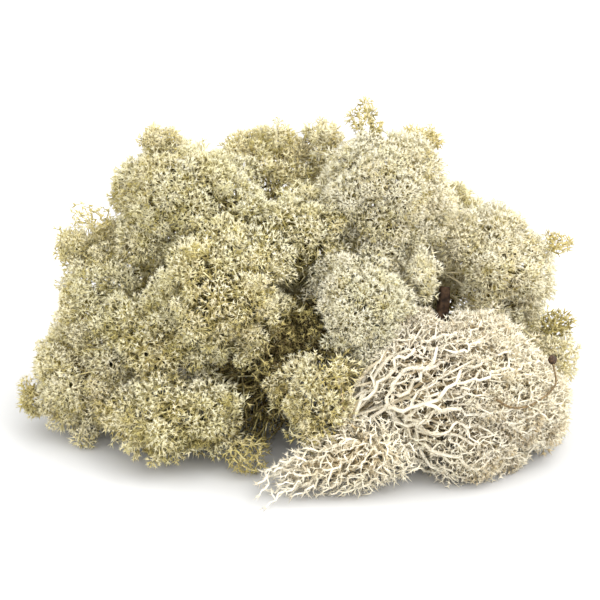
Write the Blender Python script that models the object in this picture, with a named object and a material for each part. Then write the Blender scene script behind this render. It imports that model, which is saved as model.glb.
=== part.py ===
"""A heap of dried reindeer lichen: rounded cushions of branched stalks, tangled and pressed into one mound.

Metres, +Z up. The origin is on the surface that the mound rests on, under the middle of its box, and
-Y is the front. Each cushion is one closed solid that reaches the tips of its stalks. Where two cushions
press on each other, both are flat, with a small gap between them, and the lowest are flat underneath.
"""

import math
import random
from typing import NamedTuple

import bmesh
import bpy
from mathutils import Matrix, Vector

# Driving dimensions, in metres
MM = 0.001
GAP = 0.3 * MM  # between pieces that press on each other
LOBE_ANGLE = math.radians(34)  # from the top of a lobe to the crease round it
LOBE_DEPTH = 0.13  # depth of that crease, as a share of the cushion's radius
CUSHION_CUTS = 4  # cuts across each side of the cube that a cushion starts from
TUFT_CUTS = 2  # the same, for a small tuft

TWIG_RADIUS = 2.1 * MM
TWIG_ROUTE_MM = ((40.6, -5.2, 31.0), (41.1, -4.5, 34.4), (41.5, -3.6, 37.9), (41.6, -2.5, 41.2))
STALK_RADIUS = 0.36 * MM
# Azimuth and elevation from the middle of the overturned cushion, in degrees, and the millimetres
# between the cushion's surface and the middle of the stalk
STALK_ROUTE = ((-64, 22, 0.7), (-54, 15, 0.7), (-36, 11, 0.8), (-16, 14, 1.2), (-1, 20, 1.6))
BUD_LENGTH = 3.3 * MM
BUD_RADIUS = 1.3 * MM
NEEDLE_RADIUS = 0.28 * MM
NEEDLE_ROUTE_MM = ((-59.4, -19.2, 29.4), (-55.7, -20.0, 29.7), (-51.9, -20.2, 28.8))
WIRE_SIDES = 2  # bevel resolution of the twig, the stalk and the needle


class Cushion(NamedTuple):
    """Centre and half sizes in millimetres, and the lean of the cushion about Y in degrees."""

    name: str
    centre: tuple
    half: tuple
    lean: float = 0.0


# Each one is a tuft that comes away whole when the mound is pulled apart.
CUSHIONS = (
    Cushion("cushion_crown_left", (-32, 7, 62), (22, 20, 20.5)),
    Cushion("cushion_crown_middle", (-3, -4, 56), (19.5, 16.5, 16)),
    Cushion("cushion_crown_back", (-9, 26, 64), (17, 15, 15)),
    Cushion("cushion_crown_right", (25, 2, 66), (19.5, 19, 21)),
    Cushion("cushion_shoulder_left", (-50.5, 8, 43.5), (17, 17, 12.5)),
    Cushion("cushion_shoulder_right", (54.5, 6, 42), (20, 19, 21.5), -18),
    Cushion("cushion_flank_left", (-56, -4, 34.5), (15, 15, 13.5)),
    Cushion("cushion_centre", (-21.5, -19, 46.5), (20.5, 18, 19), 34),
    Cushion("cushion_breast_right", (17.5, -18.5, 42), (17, 17, 16.5), 20),
    Cushion("cushion_hollow_left", (-38.5, -17, 31), (15, 14, 13)),
    Cushion("cushion_hollow_middle", (-4, -17, 28.5), (17.5, 16, 15.5)),
    Cushion("cushion_hollow_low", (-16, -16, 13), (19, 17, 15.5)),
    Cushion("cushion_foot_left", (-59, -8, 16.5), (17.5, 18.5, 18)),
    Cushion("cushion_foot_front_left", (-34, -30.5, 14.5), (22.5, 14, 11.8), -8),
    Cushion("cushion_foot_middle", (6, -34.5, 21), (11.5, 13, 14.5)),
    Cushion("cushion_overturned", (43, -25, 17.5), (33, 26, 26), 12),
    Cushion("cushion_foot_front_right", (14.8, -44.5, 9), (29, 13, 11.5), -10),
    Cushion("cushion_foot_right", (65.5, -10, 13.5), (13, 16, 16.5)),
    Cushion("cushion_back_left", (-34, 27, 36), (24, 22, 27)),
    Cushion("cushion_back_middle", (4, 26, 36), (24, 25, 29)),
    Cushion("cushion_back_right", (40, 25, 36), (22, 22, 27)),
    Cushion("cushion_foot_back_left", (-51, 19, 13), (20, 18, 15)),
    Cushion("cushion_foot_back_middle", (-18, 38, 14), (21, 18, 16)),
    Cushion("cushion_foot_back_right", (59, 24, 14), (16, 17, 16)),
    Cushion("cushion_foot_back", (24, 42, 13), (20, 14, 15)),
)

# Small tufts that stand out of the cushions on a few stalks
TUFTS = (
    Cushion("tuft_left_upper", (-58.0, 5, 59.5), (8.5, 4.8, 4.8), 12),
    Cushion("tuft_left", (-64.0, 3, 50.5), (4.4, 4.5, 5.4)),
    Cushion("tuft_far_left", (-74.3, -10, 9.5), (4.6, 5, 5.2)),
    Cushion("tuft_top_left", (-38.5, 10, 80.5), (6.2, 6, 5.2)),
    Cushion("tuft_top_middle", (6.2, 24, 74.0), (6.0, 6, 6.8)),
    Cushion("tuft_top", (19.5, 11, 84.5), (5.0, 5, 8.4), -14),
    Cushion("tuft_top_right", (32.5, 13, 78.5), (9.0, 6.0, 6.4), 14),
    Cushion("tuft_right_upper", (72.8, 8, 49.8), (8.0, 4.4, 3.9), -6),
    Cushion("tuft_right", (73.8, -4.5, 30.4), (5.8, 5.4, 4.6)),
    Cushion("tuft_bead", (32.0, -14.5, 50.0), (6.6, 6.6, 6.6)),
    Cushion("tuft_front_floor", (-13, -37.5, 5.4), (9.5, 6.5, 5.8)),
    Cushion("tuft_left_floor", (-60.0, -21.2, 3.2), (4.2, 5, 3.8)),
)

# These lie upside down or on their sides, with their bleached undersides out.
STRIPPED = ("cushion_overturned", "cushion_foot_front_right")

COLOURS = {
    "lichen": (0.62, 0.58, 0.38),
    "stripped": (0.74, 0.69, 0.52),
    "bark": (0.12, 0.06, 0.03),
    "bud": (0.05, 0.035, 0.025),
}


def clear_scene():
    for obj in list(bpy.data.objects):
        bpy.data.objects.remove(obj, do_unlink=True)


def new_collection(name):
    made = bpy.data.collections.new(name)
    bpy.context.scene.collection.children.link(made)
    return made


def new_material(name, colour):
    made = bpy.data.materials.new(name)
    made.use_nodes = True
    shader = made.node_tree.nodes["Principled BSDF"]
    shader.inputs["Base Color"].default_value = (*colour, 1.0)
    shader.inputs["Roughness"].default_value = 0.9
    shader.inputs["Metallic"].default_value = 0.0
    made.diffuse_color = (*colour, 1.0)
    return made


def lobe_directions(name):
    """Directions of a cushion's lobes: a spiral over the sphere, each turned a little by chance."""
    chance = random.Random(name)
    count = round(2 / (1 - math.cos(LOBE_ANGLE)))
    golden = math.pi * (3 - math.sqrt(5))
    turn = Matrix.Rotation(chance.uniform(0, math.tau), 3, "Z")
    found = []
    for i in range(count):
        height = 1 - (2 * i + 1) / count
        ring = math.sqrt(1 - height * height)
        spot = Vector((ring * math.cos(golden * i), ring * math.sin(golden * i), height))
        spot += Vector([chance.uniform(-0.22, 0.22) for _ in range(3)])
        found.append((turn @ spot).normalized())
    return found


def ellipsoid_radius(direction, half):
    """Distance from the centre to the ellipsoid with these half sizes, along a unit vector."""
    return 1 / math.sqrt(sum((d / h) ** 2 for d, h in zip(direction, half)))


def lumpy_radius(direction, half, lobes):
    """Distance to the cushion's lobed surface: domes that meet in creases."""
    angle = min(direction.angle(lobe) for lobe in lobes)
    crease = min(1.0, angle / LOBE_ANGLE) ** 2
    return ellipsoid_radius(direction, half) * (1 - LOBE_DEPTH * crease)


def placement(cushion):
    """The cushion's matrix: where its middle is, and how it leans."""
    lean = Matrix.Rotation(math.radians(cushion.lean), 4, "Y")
    return Matrix.Translation(Vector(cushion.centre) * MM) @ lean


def reach(cushion, direction):
    """How far the cushion's ellipsoid reaches from its middle along a world direction."""
    local = placement(cushion).to_3x3().transposed() @ direction
    return ellipsoid_radius(local, cushion.half) * MM


def between(cushion, other):
    """(point, outward normal) of the plane where a cushion presses on another one."""
    centre = Vector(cushion.centre) * MM
    apart = Vector(other.centre) * MM - centre
    normal = apart.normalized()
    own, others = reach(cushion, normal), reach(other, -normal)
    share = (apart.length**2 + own**2 - others**2) / (2 * apart.length)
    return centre + normal * (share - GAP / 2), normal


def beside_wire(cushion, route_mm, radius):
    """(point, outward normal) of the plane where a cushion presses on a twig, stalk or needle."""
    centre = Vector(cushion.centre) * MM
    points = smooth_route(route_mm, 24)
    nearest = min(points, key=lambda p: (p - centre).length)
    normal = (nearest - centre).normalized()
    return nearest - normal * (radius + GAP), normal


def slice_off(shape, point, normal):
    """Cuts away what lies past the plane and closes the cut with a flat face."""
    everything = shape.verts[:] + shape.edges[:] + shape.faces[:]
    cut = bmesh.ops.bisect_plane(
        shape, geom=everything, plane_co=point, plane_no=normal, clear_outer=True, dist=1e-7
    )
    rim = [edge for edge in cut["geom_cut"] if isinstance(edge, bmesh.types.BMEdge)]
    if rim:
        bmesh.ops.holes_fill(shape, edges=rim, sides=0)


def lumpy_solid(cushion, cuts):
    """The whole cushion, before its neighbours press on it, round its own middle."""
    shape = bmesh.new()
    bmesh.ops.create_cube(shape, size=2.0)
    bmesh.ops.subdivide_edges(shape, edges=shape.edges[:], cuts=cuts, use_grid_fill=True)
    lobes = lobe_directions(cushion.name)
    for vert in shape.verts:
        even = Vector([math.tan(c * math.pi / 4) for c in vert.co])  # keeps the faces of one size
        direction = even.normalized()
        vert.co = direction * lumpy_radius(direction, cushion.half, lobes) * MM
    return shape


def add_cushion(cushion, cuts, planes, collection, material):
    """A cushion with every plane that its neighbours, the twig and the floor press on it sliced flat."""
    shape = lumpy_solid(cushion, cuts)
    matrix = placement(cushion)
    back = matrix.inverted()
    for point, normal in planes:
        slice_off(shape, back @ point, back.to_3x3() @ normal)
    bmesh.ops.dissolve_degenerate(shape, dist=0.02 * MM, edges=shape.edges[:])
    bmesh.ops.recalc_face_normals(shape, faces=shape.faces[:])
    mesh = bpy.data.meshes.new(cushion.name)
    shape.to_mesh(mesh)
    shape.free()
    mesh.shade_smooth()
    mesh.set_sharp_from_angle(angle=math.radians(50))
    mesh.materials.append(material)
    obj = bpy.data.objects.new(cushion.name, mesh)
    obj.matrix_world = matrix
    collection.objects.link(obj)
    return obj


def smooth_route(route_mm, count):
    """Evenly numbered points of a smooth curve through the route's own points, in metres."""
    ends = [Vector(p) * MM for p in route_mm]
    padded = [2 * ends[0] - ends[1], *ends, 2 * ends[-1] - ends[-2]]
    found = []
    for i in range(count):
        place = i / (count - 1) * (len(ends) - 1)
        leg = min(int(place), len(ends) - 2)
        t = place - leg
        a, b, c, d = padded[leg : leg + 4]
        found.append(
            0.5 * (2 * b + (c - a) * t + (2 * a - 5 * b + 4 * c - d) * t**2 + (3 * b - a - 3 * c + d) * t**3)
        )
    return found


def add_wire(name, points, radius, taper, collection, material):
    """A round twig, stalk or needle along its points, thinner by the taper at its far end."""
    curve = bpy.data.curves.new(name, "CURVE")
    curve.dimensions = "3D"
    curve.bevel_depth = radius
    curve.bevel_resolution = WIRE_SIDES
    curve.use_fill_caps = True
    spline = curve.splines.new("POLY")
    spline.points.add(len(points) - 1)
    for i, (spot, place) in enumerate(zip(spline.points, points)):
        spot.co = (*place, 1.0)
        spot.radius = 1 - taper * i / (len(points) - 1)
    curve.materials.append(material)
    obj = bpy.data.objects.new(name, curve)
    collection.objects.link(obj)
    return obj


def stalk_route_mm():
    """The dead stalk lies on the overturned cushion: a rising arc over its right-hand side."""
    host = next(c for c in CUSHIONS if c.name == "cushion_overturned")
    lobes = lobe_directions(host.name)
    found = []
    for azimuth, elevation, clear in STALK_ROUTE:
        a, e = math.radians(azimuth), math.radians(elevation)
        direction = Vector((math.cos(a) * math.cos(e), math.sin(a) * math.cos(e), math.sin(e)))
        local = placement(host).to_3x3().transposed() @ direction
        found.append(Vector(host.centre) + direction * (lumpy_radius(local, host.half, lobes) + clear))
    return found


def add_bud(at, towards, collection, material):
    """The dark bud on the end of the dead stalk: a pointed drop."""
    shape = bmesh.new()
    bmesh.ops.create_uvsphere(shape, u_segments=12, v_segments=8, radius=1.0)
    for vert in shape.verts:
        narrow = 1 - 0.45 * max(0.0, vert.co.z)
        vert.co = Vector((vert.co.x * narrow, vert.co.y * narrow, vert.co.z))
    bmesh.ops.scale(shape, vec=(BUD_RADIUS, BUD_RADIUS, BUD_LENGTH / 2), verts=shape.verts[:])
    mesh = bpy.data.meshes.new("stalk_bud")
    shape.to_mesh(mesh)
    shape.free()
    mesh.shade_smooth()
    mesh.materials.append(material)
    obj = bpy.data.objects.new("stalk_bud", mesh)
    middle = at + towards * (BUD_LENGTH / 2 + GAP)
    obj.matrix_world = Matrix.Translation(middle) @ towards.to_track_quat("Z", "Y").to_matrix().to_4x4()
    collection.objects.link(obj)
    return obj


def build():
    clear_scene()
    heap = new_collection("reindeer_lichen_heap")
    look = {name: new_material(name, colour) for name, colour in COLOURS.items()}
    stalk = stalk_route_mm()
    everyone = [(c, CUSHION_CUTS) for c in CUSHIONS] + [(t, TUFT_CUTS) for t in TUFTS]
    floor = (Vector((0, 0, 0)), Vector((0, 0, -1)))
    for cushion, cuts in everyone:
        planes = [between(cushion, other) for other, _ in everyone if other is not cushion]
        planes.append(beside_wire(cushion, TWIG_ROUTE_MM, TWIG_RADIUS))
        planes.append(beside_wire(cushion, NEEDLE_ROUTE_MM, NEEDLE_RADIUS))
        if cushion.name != "cushion_overturned":
            planes.append(beside_wire(cushion, stalk, BUD_RADIUS))
        planes.append(floor)
        material = look["stripped" if cushion.name in STRIPPED else "lichen"]
        add_cushion(cushion, cuts, planes, heap, material)
    add_wire("twig", smooth_route(TWIG_ROUTE_MM, 14), TWIG_RADIUS, 0.25, heap, look["bark"])
    add_wire("needle", smooth_route(NEEDLE_ROUTE_MM, 8), NEEDLE_RADIUS, 0.5, heap, look["bark"])
    line = smooth_route(stalk, 22)
    add_wire("stalk", line, STALK_RADIUS, 0.2, heap, look["bark"])
    add_bud(line[-1], (line[-1] - line[-2]).normalized(), heap, look["bud"])


build()
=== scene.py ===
"""A mound of dried reindeer lichen: cushions of fine forked branches that end in little stars, pressed and
tangled together on a plain pale surface. It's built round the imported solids, in metres, +Z up, -Y in front.
"""

import math
import zlib

import bpy
import numpy as np
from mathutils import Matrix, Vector
from mathutils.bvhtree import BVHTree
from mathutils.kdtree import KDTree


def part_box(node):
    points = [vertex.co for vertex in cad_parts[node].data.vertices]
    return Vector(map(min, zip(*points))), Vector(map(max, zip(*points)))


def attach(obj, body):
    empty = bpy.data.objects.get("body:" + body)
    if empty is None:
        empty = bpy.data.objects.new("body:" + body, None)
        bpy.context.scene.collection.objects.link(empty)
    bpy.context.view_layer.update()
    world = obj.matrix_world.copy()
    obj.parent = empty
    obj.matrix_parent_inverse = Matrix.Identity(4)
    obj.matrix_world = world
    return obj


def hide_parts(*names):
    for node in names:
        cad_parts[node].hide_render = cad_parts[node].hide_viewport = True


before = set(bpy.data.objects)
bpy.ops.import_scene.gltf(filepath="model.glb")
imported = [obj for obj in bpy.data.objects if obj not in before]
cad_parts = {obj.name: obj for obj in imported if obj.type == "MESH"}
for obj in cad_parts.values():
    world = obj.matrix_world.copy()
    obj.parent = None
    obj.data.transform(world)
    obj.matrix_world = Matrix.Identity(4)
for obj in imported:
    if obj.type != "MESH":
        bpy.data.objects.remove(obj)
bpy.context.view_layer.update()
MM = 0.001

# ---------------------------------------------------------------- the bare tufts
# Four small tufts have lost their florets: each is a few old forked stalks with short dry ends, caught by
# its foot in the cushion beside it. Like all of the lichen here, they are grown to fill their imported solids,
# so that each piece ends where its neighbour presses on it.

BARE_TUFTS = {  # spacing of the forks, dullness, warmth
    "tuft_left_upper": (1.9 * MM, 0.55, 0.4),
    "tuft_right_upper": (1.35 * MM, 0.85, 0.5),
    "tuft_right": (1.35 * MM, 1.0, 0.5),
    "tuft_front_floor": (1.8 * MM, 0.7, 0.6),
}
BARE_TUFT_FOOT = 3 * MM  # how deep the foot is in the neighbour
BARE_TUFT_GAUGE = 0.7  # how thick the stalks are beside those of the other bare nets
BARE_TUFT_AGES = (0.45, 0.85)  # deep inside, and at the surface of a tuft with no dullness
BARE_TUFT_FADE = 0.5
NET_THRIFT = 0.32
NET_GAUGE = 0.2 * MM  # the radius of a stalk that carries one fork
NET_GROWTH = 0.3  # the power of its load that a stalk's radius grows by
NET_RADIUS = (0.21 * MM, 0.52 * MM)
NET_WANDER = 0.2
NET_OLD_DEPTH = 6 * MM  # its stalks are old from here in
NET_SIDES = 5
END_RADIUS = 0.24 * MM  # the foot of each pointed end of a bare stalk
END_LENGTH = (1.2 * MM, 2.6 * MM)
SIDE_RADIUS = 0.2 * MM  # and of each side twig
SIDE_LENGTH = (0.8 * MM, 2.0 * MM)
POINT_WANDER = 0.25
POINT_SINK = 0.3  # a point starts this far back in its branch, beside its radius
POINT_FADE = 0.2  # its foot is this much older than its tip
NET_SKIN = 0.3 * MM
TRIES_PER_CELL = 14  # tries for a fork in each cube of its spacing
THIRDS = np.arange(3) * math.tau / 3
WAY_OUT = Vector((0.31, 0.22, 0.925)).normalized()  # the walls of a solid are counted this way
MAP_STEPS = 300  # faces across the age and tint map
LOWEST = 0.08 * MM  # no branch goes nearer to the floor

LICHEN = [name for name in sorted(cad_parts) if name.startswith(("cushion_", "tuft_"))]


def chance_for(name):
    """A random source of the piece's own, so that one piece never changes another."""
    return np.random.default_rng(zlib.crc32(name.encode()))


def solid_of(name):
    """(corners, triangles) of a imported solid."""
    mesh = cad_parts[name].data
    mesh.calc_loop_triangles()
    corners = np.empty(len(mesh.vertices) * 3, np.float32)
    mesh.vertices.foreach_get("co", corners)
    triangles = np.empty(len(mesh.loop_triangles) * 3, np.int32)
    mesh.loop_triangles.foreach_get("vertices", triangles)
    return corners.reshape(-1, 3).astype(float), triangles.reshape(-1, 3)


def tree_of(names):
    """One search tree over several solids."""
    corners, triangles, count = [], [], 0
    for name in names:
        own_corners, own_triangles = SOLIDS[name]
        corners.append(own_corners)
        triangles.append(own_triangles + count)
        count += len(own_corners)
    return BVHTree.FromPolygons(np.concatenate(corners).tolist(), np.concatenate(triangles).tolist())


SOLIDS = {name: solid_of(name) for name in LICHEN}
OWN = {name: tree_of([name]) for name in LICHEN}
OTHERS = {name: tree_of([other for other in LICHEN if other != name]) for name in LICHEN}


def middle_of(name):
    """The middle of a solid's box."""
    low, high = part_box(name)
    return np.array((low + high) / 2)


def within(tree, point):
    """How deep a point lies inside the solids of a tree, in metres; below zero outside them."""
    walls, spot = 0, Vector(point)
    while spot is not None:
        spot = tree.ray_cast(spot + WAY_OUT * 1e-6, WAY_OUT)[0]
        walls += spot is not None
    distance = tree.find_nearest(Vector(point))[3]
    return distance if walls % 2 else -distance


def unit(vectors):
    """Vectors of length one."""
    return vectors / np.maximum(np.linalg.norm(vectors, axis=-1, keepdims=True), 1e-12)


def foot_in_neighbour(name, depth):
    """Where a tuft grows from: a point this deep in the piece next to it."""
    middle = middle_of(name)
    spot = np.array(OTHERS[name].find_nearest(Vector(middle))[0])
    return spot + unit(spot - middle) * depth


def spread_apart(points, spacing):
    """Indices of points, taken in their order, with none nearer than the spacing to one already taken."""
    spacing = np.broadcast_to(spacing, len(points))
    taken = np.zeros((len(points), 3))
    kept = []
    for i, point in enumerate(points):
        if len(kept) and np.square(taken[: len(kept)] - point).sum(1).min() < spacing[i] ** 2:
            continue
        taken[len(kept)] = point
        kept.append(i)
    return np.array(kept, int)


def inner_points(name, spacing, chance, skin):
    """Points spread through a solid, for the forks inside it, none nearer to its surface than the skin."""
    low, high = (np.array(v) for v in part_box(name))
    volume = np.prod(high - low)
    tries = chance.uniform(low, high, (int(volume / spacing**3 * TRIES_PER_CELL), 3))
    inside = [i for i, point in enumerate(tries) if within(OWN[name], point) > skin]
    tries = tries[inside]
    return tries[spread_apart(tries, spacing)]


def grown(root, ends, thrift):
    """(points, parent of each, order of the ends) of a forking tree from the root through every end. With
    more thrift the branches run straighter to the root."""
    order = np.argsort(np.linalg.norm(ends - root, axis=1))
    points = np.concatenate([[root], ends[order]])
    parent, way = np.full(len(points), -1), np.zeros(len(points))
    for i in range(1, len(points)):
        step = np.linalg.norm(points[:i] - points[i], axis=1)
        parent[i] = np.argmin(step + thrift * way[:i])
        way[i] = way[parent[i]] + step[parent[i]]
    return points, parent, order


def loads_of(parent, own):
    """What hangs on each branch: its own load and that of all that grows from it."""
    load = own.astype(float).copy()
    for i in range(len(parent) - 1, 0, -1):
        load[parent[i]] += load[i]
    return load


def bent(points, parent, radius, age, chance, wander):
    """The same tree with a crooked middle in every branch, as lichen stalks have."""
    count = len(points)
    start, end = points[parent[1:]], points[1:]
    length = np.linalg.norm(end - start, axis=1, keepdims=True)
    middle = (start + end) / 2 + chance.normal(size=(count - 1, 3)) * wander * length
    new_points = np.empty((2 * count - 1, 3))
    new_points[0], new_points[1::2], new_points[2::2] = points[0], middle, end
    new_parent = np.full(2 * count - 1, -1)
    new_parent[1::2], new_parent[2::2] = 2 * parent[1:], np.arange(1, 2 * count - 1, 2)

    def halves(values):
        out = np.empty(2 * count - 1)
        out[0], out[2::2] = values[0], values[1:]
        out[1::2] = values[parent[1:]] * 0.35 + values[1:] * 0.65
        return out

    return new_points, new_parent, halves(radius), halves(age)


def across(directions, spin):
    """Two directions square to each direction, turned about it by spin."""
    helper = np.where(np.abs(directions[:, 2:]) > 0.8, [[1.0, 0, 0]], [[0, 0, 1.0]])
    first = unit(np.cross(directions, helper))
    second = np.cross(directions, first)
    turn_cos, turn_sin = np.cos(spin)[:, None], np.sin(spin)[:, None]
    return first * turn_cos + second * turn_sin, second * turn_cos - first * turn_sin


def skinned(points, parent, radius, age, sides):
    """(corners, triangles, age of each corner) of round branches. A branch starts at the ring of corners
    that its parent ends with, and one that carries nothing ends in a blunt point."""
    count = len(points)
    heading = np.zeros((count, 3))
    heading[1:] = unit(points[1:] - points[parent[1:]])
    heading[0] = heading[1]
    side = np.zeros((count, 3))
    side[0] = across(heading[:1], np.zeros(1))[0][0]
    for i in range(1, count):
        carried = side[parent[i]] - heading[i] * side[parent[i]].dot(heading[i])
        side[i] = carried if carried.dot(carried) > 1e-4 else across(heading[i : i + 1], np.zeros(1))[0][0]
        side[i] /= math.sqrt(side[i].dot(side[i]))
    other = np.cross(heading, side)
    turn = np.arange(sides) * math.tau / sides
    ring = side[:, None] * np.cos(turn)[:, None] + other[:, None] * np.sin(turn)[:, None]
    corners = (points[:, None] + ring * radius[:, None, None]).reshape(-1, 3)
    k, after = np.arange(sides), (np.arange(sides) + 1) % sides
    low, high = parent[1:, None] * sides, np.arange(1, count)[:, None] * sides
    walls = np.stack([low + k, low + after, high + after, low + k, high + after, high + k], -1)
    ends = np.setdiff1d(np.arange(count), parent)
    tips = points[ends] + heading[ends] * radius[ends, None] * 1.5
    tip = (len(corners) + np.arange(len(ends)))[:, None] + 0 * k
    caps = np.stack([ends[:, None] * sides + k, ends[:, None] * sides + after, tip], -1)
    triangles = np.concatenate([walls.reshape(-1, 3), caps.reshape(-1, 3)])
    return np.concatenate([corners, tips]), triangles, np.concatenate([np.repeat(age, sides), age[ends]])


def points_round(middles, heading, radius, lengths, splay, numbers, young, chance):
    """(corners, triangles, ages) of the pointed branchlets that stand round each middle."""
    each = chance.integers(numbers[0], numbers[1] + 1, len(middles))
    star = np.repeat(np.arange(len(middles)), each)
    nth = np.arange(len(star)) - np.repeat(np.cumsum(each) - each, each)
    first, second = across(heading, chance.uniform(0, math.tau, len(middles)))
    around = nth * math.tau / each[star] + chance.normal(size=len(star)) * POINT_WANDER
    lean = np.radians(chance.uniform(*splay, len(star)))[:, None]
    out = first[star] * np.cos(around)[:, None] + second[star] * np.sin(around)[:, None]
    aim = heading[star] * np.cos(lean) + out * np.sin(lean)
    length = chance.uniform(*lengths, len(star))[:, None]
    a, b = across(aim, chance.uniform(0, math.tau, len(star)))
    foot = a[:, None] * np.cos(THIRDS)[:, None] + b[:, None] * np.sin(THIRDS)[:, None]
    foot = (middles[star] - heading[star] * radius * POINT_SINK)[:, None] + foot * radius
    corners = np.concatenate([foot, (middles[star] + aim * length)[:, None]], 1).reshape(-1, 3)
    k, after = np.arange(3), (np.arange(3) + 1) % 3
    start = (np.arange(len(star)) * 4)[:, None]
    triangles = np.stack([start + k, start + after, start + 3 + 0 * k], -1).reshape(-1, 3)
    ages = np.column_stack([young[star] - POINT_FADE] * 3 + [young[star]]).ravel()
    return corners, triangles, ages


def net_parts(name, feet, spacing, thickness, ages, chance):
    """A bare net of forked stalks with open loops and short ends, from its first foot through a solid. The
    ages are those deep inside and at the surface."""
    points = np.concatenate([feet[1:], inner_points(name, spacing, chance, NET_SKIN)])
    points, parent, _ = grown(feet[0], points, NET_THRIFT)
    loads = loads_of(parent, np.ones(len(points)))
    radius = thickness * np.clip(NET_GAUGE * loads**NET_GROWTH, *NET_RADIUS)
    depth = np.array([within(OWN[name], point) for point in points])
    age = np.interp(depth, (0, NET_OLD_DEPTH), ages[::-1]) + chance.normal(size=len(points)) * 0.05
    ends = np.setdiff1d(np.arange(len(points)), parent)
    heading = unit(points[ends] - points[parent[ends]])
    tree = bent(points, parent, radius, age, chance, NET_WANDER)
    side = unit(chance.normal(size=(len(tree[0]), 3)))
    return [
        skinned(*tree, NET_SIDES),
        points_round(points[ends], heading, END_RADIUS, END_LENGTH, (20, 60), (2, 4), age[ends], chance),
        points_round(tree[0], side, SIDE_RADIUS, SIDE_LENGTH, (20, 70), (1, 2), tree[3], chance),
    ]


def tint_at(points, warmth):
    """A slow change of colour through the mound, between 0 (cool) and 1 (warm)."""
    waves = ((31, 11, 23, 0.3), (-17, 37, 13, 2.1), (60, -45, 71, 4.0), (130, 151, -90, 1.1))
    rise = sum(np.sin(points @ np.array(wave[:3]) * 3 + wave[3]) for wave in waves)
    return np.clip(warmth + 0.11 * rise, 0, 1)


def joined_mesh(name, parts, warmth):
    """One mesh object from (corners, triangles, ages) parts, with age and tint kept on its corners, and a
    map that lays each face out by them."""
    corners, triangles, ages, tints, count = [], [], [], [], 0
    chance = chance_for(name + " tint")
    for own_corners, own_triangles, own_age in parts:
        corners.append(own_corners)
        triangles.append(own_triangles + count)
        ages.append(own_age)
        tints.append(tint_at(own_corners, warmth + chance.normal() * 0.12))
        count += len(own_corners)
    corners, triangles = np.concatenate(corners), np.concatenate(triangles)
    ages, tints = np.clip(np.concatenate(ages), 0, 1), np.concatenate(tints)
    corners[:, 2] = np.maximum(corners[:, 2], LOWEST)
    mesh = bpy.data.meshes.new(name)
    mesh.vertices.add(len(corners))
    mesh.vertices.foreach_set("co", corners.astype(np.float32).ravel())
    mesh.loops.add(triangles.size)
    mesh.loops.foreach_set("vertex_index", triangles.astype(np.int32).ravel())
    mesh.polygons.add(len(triangles))
    mesh.polygons.foreach_set("loop_start", np.arange(0, triangles.size, 3, dtype=np.int32))
    mesh.update(calc_edges=True)
    mesh.shade_smooth()
    for key, values in (("age", ages), ("tint", tints)):
        layer = mesh.attributes.new(key, "FLOAT", "POINT")
        layer.data.foreach_set("value", values.astype(np.float32))
    width = np.array(((0, 0), (1, 0), (0, 1))) / MAP_STEPS
    places = np.stack([ages[triangles], tints[triangles]], -1) * 0.98 + 0.005 + width
    mesh.uv_layers.new(name="OFBake").data.foreach_set("uv", places.astype(np.float32).ravel())
    obj = bpy.data.objects.new(name, mesh)
    bpy.context.scene.collection.objects.link(obj)
    return obj


def grow_bare_tuft(name):
    """A tuft that is only a few bare forked stalks."""
    spacing, dullness, warmth = BARE_TUFTS[name]
    foot = foot_in_neighbour(name, BARE_TUFT_FOOT)
    ages = (BARE_TUFT_AGES[0], BARE_TUFT_AGES[1] - BARE_TUFT_FADE * dullness)
    parts = net_parts(name, foot[None], spacing, BARE_TUFT_GAUGE, ages, chance_for(name))
    return joined_mesh("lichen_" + name, parts, warmth)


def weathering_group():
    """A node group for dry plant surfaces: soft patches and a fine grain, both from 0 to 1."""
    group = bpy.data.node_groups.new("weathering", "ShaderNodeTree")
    group.interface.new_socket("Patches per metre", in_out="INPUT", socket_type="NodeSocketFloat")
    group.interface.new_socket("Grains per metre", in_out="INPUT", socket_type="NodeSocketFloat")
    group.interface.new_socket("Patches", in_out="OUTPUT", socket_type="NodeSocketFloat")
    group.interface.new_socket("Grain", in_out="OUTPUT", socket_type="NodeSocketFloat")
    given = group.nodes.new("NodeGroupInput")
    result = group.nodes.new("NodeGroupOutput")
    place = group.nodes.new("ShaderNodeTexCoord")
    for asked, answer, detail in (("Patches per metre", "Patches", 2), ("Grains per metre", "Grain", 3)):
        noise = group.nodes.new("ShaderNodeTexNoise")
        noise.inputs["Detail"].default_value = detail
        group.links.new(place.outputs["Object"], noise.inputs["Vector"])
        group.links.new(given.outputs[asked], noise.inputs["Scale"])
        group.links.new(noise.outputs["Fac"], result.inputs[answer])
    return group


WEATHERING = weathering_group()


def weathered(tree, patches, grains):
    """The (Patches, Grain) outputs of a weathering node with its own scales."""
    node = tree.nodes.new("ShaderNodeGroup")
    node.node_tree = WEATHERING
    node.inputs["Patches per metre"].default_value = patches
    node.inputs["Grains per metre"].default_value = grains
    return node.outputs["Patches"], node.outputs["Grain"]


def colour_ramp(tree, fac, stops):
    """The colour of a Color Ramp node with (place, linear colour) stops."""
    ramp = tree.nodes.new("ShaderNodeValToRGB")
    elements = ramp.color_ramp.elements
    while len(elements) < len(stops):
        elements.new(0.5)
    for element, (place, colour) in zip(elements, stops):
        element.position = place
        element.color = (*colour, 1)
    tree.links.new(fac, ramp.inputs["Fac"])
    return ramp.outputs["Color"]


def ranged(tree, value, low, high):
    """A 0.3 to 0.7 noise value, stretched between low and high."""
    node = tree.nodes.new("ShaderNodeMapRange")
    node.inputs["From Min"].default_value = 0.3
    node.inputs["From Max"].default_value = 0.7
    node.inputs["To Min"].default_value = low
    node.inputs["To Max"].default_value = high
    tree.links.new(value, node.inputs["Value"])
    return node.outputs["Result"]


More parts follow.
